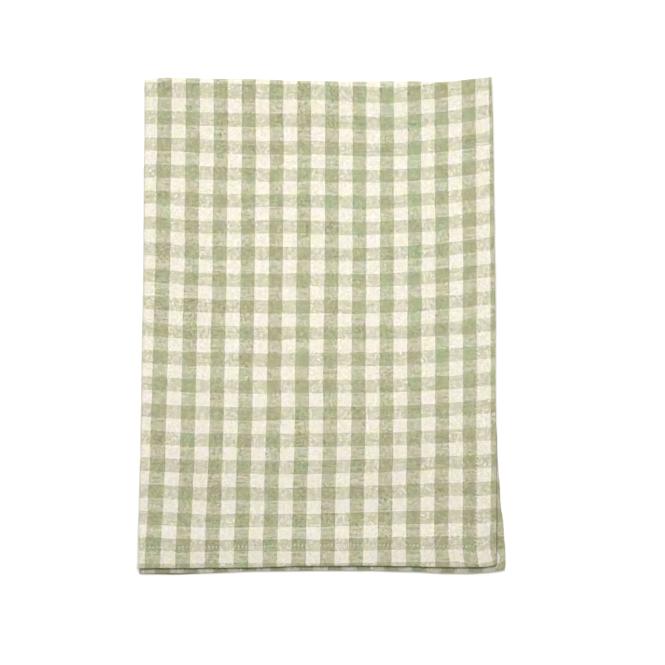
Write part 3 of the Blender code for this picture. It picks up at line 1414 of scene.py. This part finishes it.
def plain_weave_group() -> bpy.types.NodeTree:
    """Build or find the group for a plain weave, each thread over one and under one.

    Returns:
        A group that takes a place counted in warp and weft threads and how far each set rises,
        and puts out whether the warp shows there, the height of the cloth and the numbers of the
        warp and the weft thread.
    """
    found = bpy.data.node_groups.get("plain_weave")
    if found:
        return found
    given, sheet = new_group(
        "plain_weave",
        {"Across": 0.0, "Along": 0.0, "Warp Rise": 0.43, "Weft Rise": 0.0},
        ("Warp Shows", "Height", "Warp", "Weft"),
    )
    across, along = given["Across"], given["Along"]
    warp = sheet.math("FLOOR", across, label="warp thread")
    weft = sheet.math("FLOOR", along, label="weft thread")

    def half_cosine(phase: Socket) -> Socket:
        """Half the cosine of a phase in half turns."""
        return sheet.math("MULTIPLY", sheet.math("COSINE", sheet.math("MULTIPLY", phase, pi)), 0.5)

    def wave(place: Socket, thread: Socket) -> Socket:
        """A thread's rise and fall over the threads that it crosses, from -0.5 to 0.5."""
        return half_cosine(sheet.math("ADD", sheet.math("SUBTRACT", place, 0.5), thread))

    def crown(place: Socket, thread: Socket) -> Socket:
        """The round back of a thread, 0.5 at its middle and 0 at its edges."""
        return half_cosine(sheet.math("SUBTRACT", sheet.math("SUBTRACT", place, thread), 0.5))

    warp_height = sheet.math("ADD", wave(along, warp), crown(across, warp))
    warp_height = sheet.math("ADD", warp_height, given["Warp Rise"], "warp height")
    weft_height = sheet.math("SUBTRACT", crown(along, weft), wave(across, weft))
    weft_height = sheet.math("ADD", weft_height, given["Weft Rise"], "weft height")
    return close_group(
        sheet,
        Warp_Shows=sheet.math("GREATER_THAN", warp_height, weft_height),
        Height=sheet.math("MAXIMUM", warp_height, weft_height),
        Warp=warp,
        Weft=weft,
    )


class Drift(NamedTuple):
    """A soft unevenness over the cloth: how fine its noise is, how detailed and how strong."""

    scale: float
    detail: float
    strength: float


class YarnTones(NamedTuple):
    """How uneven a yarn is, where it is cream and where it is dyed green."""

    cream: float
    green: float


class ThreadSet(NamedTuple):
    """The warp or the weft: how many threads and flecks fill a check, and how they vary."""

    threads_per_check: float
    flecks_per_check: float
    each_thread: YarnTones      # in tone, from thread to thread
    along_thread: YarnTones     # in tone, along each thread
    khaki: YarnTones            # in hue, from sage to khaki


@dataclass(frozen=True)
class GinghamFinish:
    """Plain-woven cotton in checks of cream and sage green yarn."""

    cream: Colour = (0.820, 0.777, 0.663, 1.0)
    green: Colour = (0.404, 0.404, 0.245, 1.0)
    # Painted shade: a darkening multiplied into the cells where a cream yarn crosses a green one,
    # standing in for the shade between the yarns.
    crossing_shade: Colour = (0.957, 0.955, 0.915, 1.0)
    specular: float = 0.2
    sheen: float = 0.08
    sheen_roughness: float = 0.5
    roughness: float = 0.88
    fuzz_roughness: float = 0.06
    fuzz_scale: float = 9.0
    fuzz_detail: float = 2.0
    fuzz_range: tuple[float, float] = (0.2, 0.8)
    weave_depth: float = 0.10 * MM
    weave_strength: float = 0.6

    # The two sets of threads. Flecks are short lengths of a thread with tones of their own.
    warp: ThreadSet = ThreadSet(
        threads_per_check=15.0,
        flecks_per_check=14.0,
        each_thread=YarnTones(cream=0.05, green=0.08),
        along_thread=YarnTones(cream=0.07, green=0.30),
        khaki=YarnTones(cream=0.03, green=0.30),
    )
    weft: ThreadSet = ThreadSet(
        threads_per_check=14.0,
        flecks_per_check=13.0,
        each_thread=YarnTones(cream=0.05, green=0.30),
        along_thread=YarnTones(cream=0.06, green=0.70),
        khaki=YarnTones(cream=0.03, green=0.08),
    )
    flecks: YarnTones = YarnTones(cream=0.33, green=0.93)
    warp_shift: float = 31.7        # reads the warp's noise elsewhere than the weft's

    # How far the warp rises over the weft, and what makes that uneven: thick and thin weft,
    # slack lengths of warp and loose crossings.
    warp_rise: float = 0.38
    thick_weft: YarnTones = YarnTones(cream=1.4, green=0.2)
    slack_warp: YarnTones = YarnTones(cream=0.85, green=0.0)
    slack_places_per_check: float = 5.0
    loose_crossings: float = 1.30

    # How the threads bend, in checks, and how the dye drifts.
    bent_columns: Drift = Drift(scale=0.21, detail=3.0, strength=0.12)
    bent_rows: Drift = Drift(scale=0.19, detail=3.0, strength=0.22)
    khaki: Drift = Drift(scale=0.62, detail=2.0, strength=1.0)
    broad_khaki: Drift = Drift(scale=0.085, detail=0.0, strength=-0.30)
    khaki_most: float = 0.10
    khaki_blue: float = 0.68
    yellow: Drift = Drift(scale=0.95, detail=3.0, strength=1.0)
    yellow_shift: float = 43.0      # reads the noise for yellow elsewhere than that for khaki
    yellowing: float = 0.40
    yellow_red: float = 0.16

    def build(self) -> bpy.types.Material:
        """Make the material.

        Returns:
            The material, which reads the check's own UV map.
        """
        material, shader = new_material(
            "gingham", Metallic=0.0, Specular_IOR_Level=self.specular,
            Sheen_Weight=self.sheen, Sheen_Roughness=self.sheen_roughness,
        )
        sheet = NodeSheet(material.node_tree)
        uv = sheet.node("ShaderNodeUVMap", "columns and rows", uv_map=CHECK_MAP).outputs["UV"]
        plain_column, plain_row = sheet.split(uv)
        turned = sheet.vector(plain_row, plain_column)
        column = sheet.math("ADD", plain_column, self.drift(sheet, uv, self.bent_columns))
        row = sheet.math("ADD", plain_row, self.drift(sheet, turned, self.bent_rows))
        green_column = self.stripe(sheet, column, "green column")
        green_row = self.stripe(sheet, row, "green row")

        across = sheet.math("MULTIPLY", column, self.warp.threads_per_check, "in warp threads")
        along = sheet.math("MULTIPLY", row, self.weft.threads_per_check, "in weft threads")
        weft_tone = self.tone(sheet, self.weft, sheet.math("FLOOR", along), column, green_row)
        thick = sheet.swing(weft_tone.outputs["Thick"],
                            sheet.level(green_row, *self.thick_weft), "thick and thin weft")
        loose = sheet.swing(sheet.drawn(across, along, "each crossing's own"),
                            self.loose_crossings, "loose crossings")
        stretch = sheet.math("MULTIPLY", row, self.slack_places_per_check)
        slack = sheet.swing(sheet.drawn(across, stretch, "each length of warp's own"),
                            sheet.level(green_column, *self.slack_warp), "slack warp")
        weave = sheet.group(
            plain_weave_group(), "weave", Across=across, Along=along,
            Warp_Rise=sheet.math("ADD", slack, self.warp_rise),
            Weft_Rise=sheet.math("ADD", thick, loose),
        )
        far_row = sheet.math("ADD", row, self.warp_shift)
        warp_tone = self.tone(sheet, self.warp, weave.outputs["Warp"], far_row, green_column)

        hues = self.dye_drift(sheet, column, row)
        warp = self.yarn(sheet, self.warp, green_column, warp_tone.outputs["Tone"], *hues)
        weft = self.yarn(sheet, self.weft, green_row, weft_tone.outputs["Tone"], *hues)
        colour = sheet.mix(weave.outputs["Warp Shows"], weft, warp, "yarn on top")
        # Where cream and green yarns cross, the colour is darkened by painted shade between the
        # yarns.
        crossed = sheet.math("ABSOLUTE", sheet.math("SUBTRACT", green_column, green_row))
        shaded_crossings = sheet.mix(1.0, colour, self.crossing_shade, "painted shade where yarns cross", "MULTIPLY")
        sheet.feed(shader.inputs["Base Color"], sheet.mix(crossed, colour, shaded_crossings))

        fuzz = sheet.noise(uv, self.fuzz_scale, self.fuzz_detail, "fuzz")
        smoothest = self.roughness - self.fuzz_roughness
        roughest = self.roughness + self.fuzz_roughness
        sheet.feed(shader.inputs["Roughness"],
                   sheet.ramp(fuzz, *self.fuzz_range, smoothest, roughest))
        sheet.relief(shader, weave.outputs["Height"], self.weave_strength, self.weave_depth,
                     "weave relief")
        return material

    def drift(self, sheet: NodeSheet, place: Socket, drift: Drift, label: str = "") -> Socket:
        """A soft drift around 0.

        Args:
            sheet: The sheet to add nodes with.
            place: Where it is read.
            drift: Its noise and its strength.
            label: What it is for.

        Returns:
            The drift.
        """
        return sheet.swing(sheet.noise(place, drift.scale, drift.detail, label), drift.strength)

    def stripe(self, sheet: NodeSheet, place: Socket, label: str) -> Socket:
        """1 on the even columns or rows, 0 on the odd ones."""
        halved = sheet.math("FRACT", sheet.math("MULTIPLY", place, 0.5))
        return sheet.math("LESS_THAN", halved, 0.5, label)

    def tone(self, sheet: NodeSheet, threads: ThreadSet, number: Socket, along: Socket,
             dyed: Socket) -> bpy.types.Node:
        """Place the group for the tone of one set of threads.

        Args:
            sheet: The sheet to add nodes with.
            threads: The warp or the weft.
            number: The thread's number.
            along: The place along it, in checks.
            dyed: 1 where the yarn is dyed green.

        Returns:
            The group's node.
        """
        return sheet.group(
            YarnTone().group(), "yarn tone", Thread=number, Along=along,
            Thread_Strength=sheet.level(dyed, *threads.each_thread),
            Along_Strength=sheet.level(dyed, *threads.along_thread),
            Fleck_Strength=sheet.level(dyed, *self.flecks),
            Flecks_per_Check=threads.flecks_per_check,
        )

    def dye_drift(self, sheet: NodeSheet, column: Socket, row: Socket) -> tuple[Socket, Socket]:
        """The drifts of hue over the cloth.

        Args:
            sheet: The sheet to add nodes with.
            column: The place in columns.
            row: The place in rows.

        Returns:
            Two drifts around 0. One goes from sage to khaki, from check to check and over the
            whole towel, and the other goes from less to more yellow.
        """
        khaki = self.drift(sheet, sheet.vector(column, row), self.khaki, "sage to khaki")
        broad = self.drift(sheet, sheet.vector(row, column), self.broad_khaki, "broad khaki")
        khaki = sheet.math("MINIMUM", sheet.math("ADD", khaki, broad), self.khaki_most)
        far = sheet.vector(sheet.math("ADD", column, self.yellow_shift), row)
        return khaki, self.drift(sheet, far, self.yellow, "less or more yellow")

    def yarn(self, sheet: NodeSheet, threads: ThreadSet, dyed: Socket, tone: Socket,
             khaki: Socket, yellow: Socket) -> Socket:
        """The colour of one set of threads, with its tone and the drifts of hue.

        Args:
            sheet: The sheet to add nodes with.
            threads: The warp or the weft.
            dyed: 1 where the yarn is dyed green.
            tone: A factor near 1.
            khaki: The drift from sage to khaki, around 0.
            yellow: The drift in yellowness, around 0.

        Returns:
            The colour.
        """
        colour = sheet.scale_colour(sheet.mix(dyed, self.cream, self.green, "yarn"), tone)
        warmer = sheet.math("MULTIPLY", khaki, sheet.level(dyed, *threads.khaki))
        less_blue = sheet.math("ADD", sheet.math("MULTIPLY", yellow, self.yellowing),
                               sheet.math("MULTIPLY", warmer, self.khaki_blue))
        less_red = sheet.math("MULTIPLY", yellow, self.yellowing * self.yellow_red)
        tint = sheet.vector(
            sheet.math("SUBTRACT", sheet.math("ADD", 1.0, warmer), less_red),
            sheet.math("SUBTRACT", 1.0, warmer),
            sheet.math("SUBTRACT", 1.0, less_blue),
            "tint",
        )
        return sheet.mix(1.0, colour, tint, "tinted", "MULTIPLY")


@dataclass(frozen=True)
class ThreadFinish:
    """Cream cotton sewing thread with a soft twist."""

    colour: tuple[float, float, float] = (0.76, 0.73, 0.60)
    specular: float = 0.3
    roughness_in_twist: float = 0.78
    roughness_on_twist: float = 0.65
    twists_per_metre: float = 1400.0
    twist_depth: float = 0.05 * MM
    twist_strength: float = 0.5
    tone_length: float = 2.0 * MM
    uneven_threads: float = 0.06
    uneven_along: float = 0.12

    def build(self) -> bpy.types.Material:
        """Make the material.

        Returns:
            The material, which reads Object coordinates.
        """
        material, shader = new_material(
            "sewing_thread", Metallic=0.0, Specular_IOR_Level=self.specular
        )
        sheet = NodeSheet(material.node_tree)
        place = sheet.node("ShaderNodeTexCoord", "place on the towel").outputs["Object"]
        slant = sheet.math("ADD", *sheet.split(place))
        stitch = sheet.math("MULTIPLY", slant, 1.0 / self.tone_length)
        tone = sheet.group(
            YarnTone().group(), "thread", Thread=sheet.math("FLOOR", stitch), Along=stitch,
            Thread_Strength=self.uneven_threads, Along_Strength=self.uneven_along,
        )
        sheet.feed(shader.inputs["Base Color"],
                   sheet.scale_colour(self.colour, tone.outputs["Tone"], "uneven thread"))
        twist = sheet.math("SINE", sheet.math("MULTIPLY", slant, 2.0 * pi * self.twists_per_metre))
        sheet.feed(shader.inputs["Roughness"],
                   sheet.ramp(twist, -1.0, 1.0, self.roughness_in_twist, self.roughness_on_twist))
        sheet.relief(shader, twist, self.twist_strength, self.twist_depth, "twist")
        return material


class Lamp(NamedTuple):
    """A square soft light: where it hangs, how wide it is and how strong."""

    place: tuple[float, float, float]
    size: float
    watts: float
    aimed: bool = False     # turned to the middle of the towel, or else level


@dataclass
class Studio:
    """A white floor, two soft lights and a camera that looks straight down."""

    # The floor lies a little below the towel, clear of its lowest stitches, and glows softly.
    floor_size: float = 8.0
    floor_drop: float = 0.30 * MM
    floor_white: Colour = (0.97, 0.97, 0.97, 1.0)
    floor_roughness: float = 0.9
    floor_specular: float = 0.1
    floor_glow: float = 0.27

    # Where the camera hangs, and the width that it sees at the height of the top layer.
    camera_x: float = 8.05 * MM
    camera_y: float = -4.8 * MM
    view_width: float = 473.5 * MM
    focus_height: float = 8.4 * MM
    lens: float = 240.0
    sensor: float = 36.0

    # A soft light above, a wide one beyond the top edge and an even one all round.
    softbox: Lamp = Lamp(place=(0.005, 0.057, 0.68), size=0.25, watts=3.60)
    window: Lamp = Lamp(place=(-0.35, 1.90, 1.15), size=2.00, watts=26.0, aimed=True)
    light_colour: Colour = (1.0, 1.0, 1.0, 1.0)
    sky: float = 0.17

    def build(self) -> None:
        """Set up the floor, the lights, the world and the camera."""
        self.build_floor()
        self.hang_lamp("softbox", self.softbox)
        self.hang_lamp("window", self.window)
        self.set_sky()
        self.add_camera()
        bpy.context.scene.view_settings.view_transform = "Standard"

    def build_floor(self) -> None:
        """Lay the floor just under the stitches of the lowest layer."""
        flat = bmesh.new()
        bmesh.ops.create_grid(flat, x_segments=1, y_segments=1, size=self.floor_size / 2.0)
        bmesh.ops.translate(flat, vec=(0.0, 0.0, -self.floor_drop), verts=flat.verts[:])
        mesh = close_mesh(flat, "floor")
        paint, _ = new_material(
            "floor_paint", Base_Color=self.floor_white, Roughness=self.floor_roughness,
            Specular_IOR_Level=self.floor_specular, Emission_Color=self.light_colour,
            Emission_Strength=self.floor_glow,
        )
        mesh.materials.append(paint)
        floor = add_object("floor", mesh)

    def hang_lamp(self, name: str, lamp: Lamp) -> None:
        """Hang a square soft light, level or turned to the towel.

        Args:
            name: The light's name.
            lamp: Where it hangs, how wide it is and how strong.
        """
        light = bpy.data.lights.new(name, "AREA")
        light.shape = "SQUARE"
        light.size = lamp.size
        light.energy = lamp.watts
        hung = add_object(name, light)
        hung.location = lamp.place
        if lamp.aimed:
            hung.rotation_euler = (-Vector(lamp.place)).to_track_quat("-Z", "Y").to_euler()
        hung.visible_camera = False

    def set_sky(self) -> None:
        """Surround the towel with an even pale light."""
        world = bpy.data.worlds.new("studio")
        world.use_nodes = True
        backdrop = world.node_tree.nodes["Background"]
        backdrop.inputs["Color"].default_value = self.light_colour
        backdrop.inputs["Strength"].default_value = self.sky
        bpy.context.scene.world = world

    def add_camera(self) -> None:
        """Hang the camera straight above the towel."""
        lens = bpy.data.cameras.new("camera")
        lens.lens = self.lens
        lens.sensor_width = self.sensor
        camera = add_object("camera", lens)
        height = self.focus_height + self.view_width * self.lens / self.sensor
        camera.location = (self.camera_x, self.camera_y, height)
        bpy.context.scene.camera = camera


def main() -> None:
    """Build the cloth, its stitching and the studio."""
    logging.basicConfig(level=logging.INFO)
    folded = FoldedCloth(CheckLayout())
    cloth = folded.build()
    folded.dress(cloth, GinghamFinish())
    LOG.info("cloth: %d faces", len(cloth.data.polygons))
    sewing = HemStitching(folded)
    stitching = sewing.build()
    sewing.dress(stitching, ThreadFinish())
    LOG.info("stitching: %d faces", len(stitching.data.polygons))
    Studio().build()
    LOG.info("studio: a floor, two lights and a camera")


if __name__ == "__main__":
    main()
